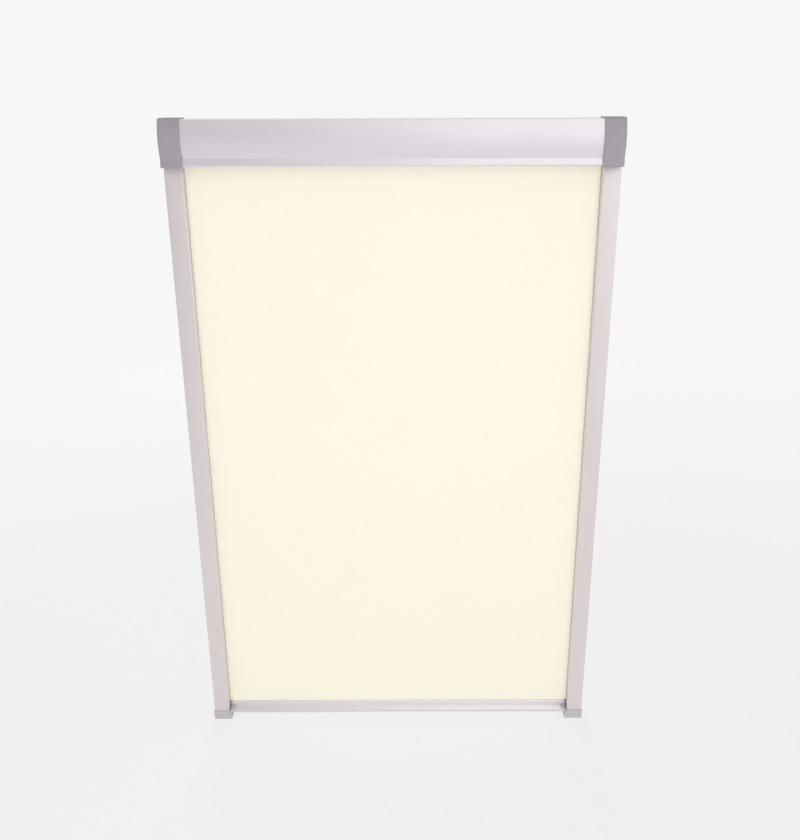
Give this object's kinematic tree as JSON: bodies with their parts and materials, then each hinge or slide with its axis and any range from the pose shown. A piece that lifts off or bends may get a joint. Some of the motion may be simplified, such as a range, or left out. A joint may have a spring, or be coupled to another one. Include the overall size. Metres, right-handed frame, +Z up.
{
  "type": "skylight window blind",
  "caption": "Blackout blind for a roof window: a sprung roller in a cassette, fabric guided in two side channels, and a ledge handle bar held by friction pads.",
  "frame": {"origin": "middle of the cassette's flat back face, which lies on the window's sash", "axes": "+X across the blind towards its right as seen from the room, +Y out of its back towards the sash, +Z up along the side channels"},
  "size_m": [0.6396, 0.043, 0.995],
  "materials": {
    "satin_aluminium": "satin silver anodised extrusion",
    "grey_moulding": "satin mid-grey moulding",
    "light_grey_moulding": "satin light-grey moulding",
    "black_nylon": "black glass-filled moulding",
    "white_acetal": "smooth white moulding",
    "zinc_plated_steel": "bright zinc plate",
    "cream_blackout_fabric": "plain cream coated weave",
    "grey_pile": "short brush pile",
    "brake_felt": "dense felt",
    "white_vinyl": "plain extruded vinyl"
  },
  "bodies": {
    "frame": {"cassette_shell": "satin_aluminium", "end_cap_left": "grey_moulding", "end_cap_right": "grey_moulding", "end_plate_left": "black_nylon", "end_plate_right": "black_nylon", "end_plate_screw_left_back": "zinc_plated_steel", "end_plate_screw_left_front": "zinc_plated_steel", "end_plate_screw_left_lip": "zinc_plated_steel", "end_plate_screw_right_back": "zinc_plated_steel", "end_plate_screw_right_front": "zinc_plated_steel", "end_plate_screw_right_lip": "zinc_plated_steel", "side_channel_left": "satin_aluminium", "side_channel_right": "satin_aluminium", "light_seal_left": "grey_pile", "light_seal_right": "grey_pile", "foot_cap_left": "light_grey_moulding", "foot_cap_right": "light_grey_moulding", "spring_spindle": "zinc_plated_steel", "spring_anchor": "black_nylon", "torsion_spring": "zinc_plated_steel", "fabric_sheet": "cream_blackout_fabric"},
    "roller": {"roller_tube": "satin_aluminium", "fabric_key": "white_vinyl", "fabric_roll": "cream_blackout_fabric", "spring_plug": "white_acetal", "spring_carrier": "black_nylon", "idle_plug": "white_acetal", "idle_spring_seat": "white_acetal", "idle_pin_spring": "zinc_plated_steel"},
    "idle_pin": {"idle_pin": "zinc_plated_steel"},
    "bar": {"handle_bar": "satin_aluminium", "bar_spline": "white_vinyl", "bar_end_left": "light_grey_moulding", "bar_end_right": "light_grey_moulding", "bar_screw_left": "zinc_plated_steel", "bar_screw_right": "zinc_plated_steel", "brake_spring_left": "zinc_plated_steel", "brake_spring_right": "zinc_plated_steel"},
    "brake_left": {"brake_pad_left": "brake_felt"},
    "brake_right": {"brake_pad_right": "brake_felt"}
  },
  "joints": [
    {"name": "bar_slide", "type": "slide", "parent": "frame", "child": "bar", "axis": [0, 0, 1], "range_m": [0, 0.9], "deforming": ["fabric_sheet"]},
    {"name": "roller_spin", "type": "hinge", "parent": "frame", "child": "roller", "pos_m": [0, -0.022, 0.006], "axis": [1, 0, 0], "range_deg": [0, 3410], "stiffness_Nm_per_rad": 0.000586, "springref_deg": 5179.54, "deforming": ["torsion_spring"]},
    {"name": "idle_pin_push", "type": "slide", "parent": "roller", "child": "idle_pin", "axis": [-1, 0, 0], "range_m": [0, 0.0065], "stiffness_N_per_m": 500, "springref_m": -0.006, "deforming": ["idle_pin_spring"]},
    {"name": "brake_left_press", "type": "slide", "parent": "bar", "child": "brake_left", "axis": [1, 0, 0], "range_m": [0, 0.0012], "stiffness_N_per_m": 400, "springref_m": -0.004, "deforming": ["brake_spring_left"]},
    {"name": "brake_right_press", "type": "slide", "parent": "bar", "child": "brake_right", "axis": [-1, 0, 0], "range_m": [0, 0.0012], "stiffness_N_per_m": 400, "springref_m": -0.004, "deforming": ["brake_spring_right"]}
  ],
  "couplings": [
    {"joint": "roller_spin", "follows": "bar_slide", "rad_per_m": 66.04}
  ]
}
